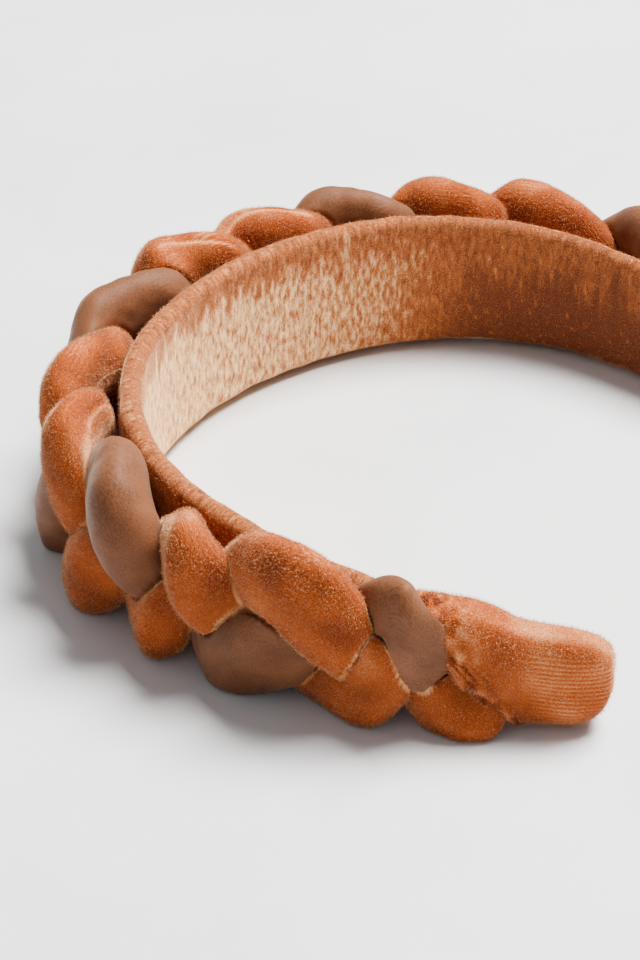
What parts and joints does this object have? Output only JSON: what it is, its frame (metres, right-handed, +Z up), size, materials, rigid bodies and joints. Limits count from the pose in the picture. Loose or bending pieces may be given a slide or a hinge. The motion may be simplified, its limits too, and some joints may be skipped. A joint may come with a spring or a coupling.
{
  "type": "braided velvet headband",
  "caption": "Padded headband: a flat velvet-covered hoop, open at the back, with a thick braid of velvet and satin strands round its outside.",
  "frame": {"origin": "centre of the box, on the surface that the headband lies on", "axes": "+Z up, across the headband's width; +Y towards the crown of the hoop, with the open end towards -Y; X across the head from side to side"},
  "size_m": [0.1829, 0.1676, 0.0415],
  "materials": {
    "velvet": "caramel crushed velvet, short pile with pale tips",
    "satin": "warm brown satin, soft sheen, fine cross ribs"
  },
  "bodies": {
    "root": {"band": "velvet", "satin_strand": "satin", "velvet_strand_1": "velvet", "velvet_strand_2": "velvet", "tip_wrap_near": "velvet", "tip_wrap_far": "velvet"}
  },
  "joints": []
}
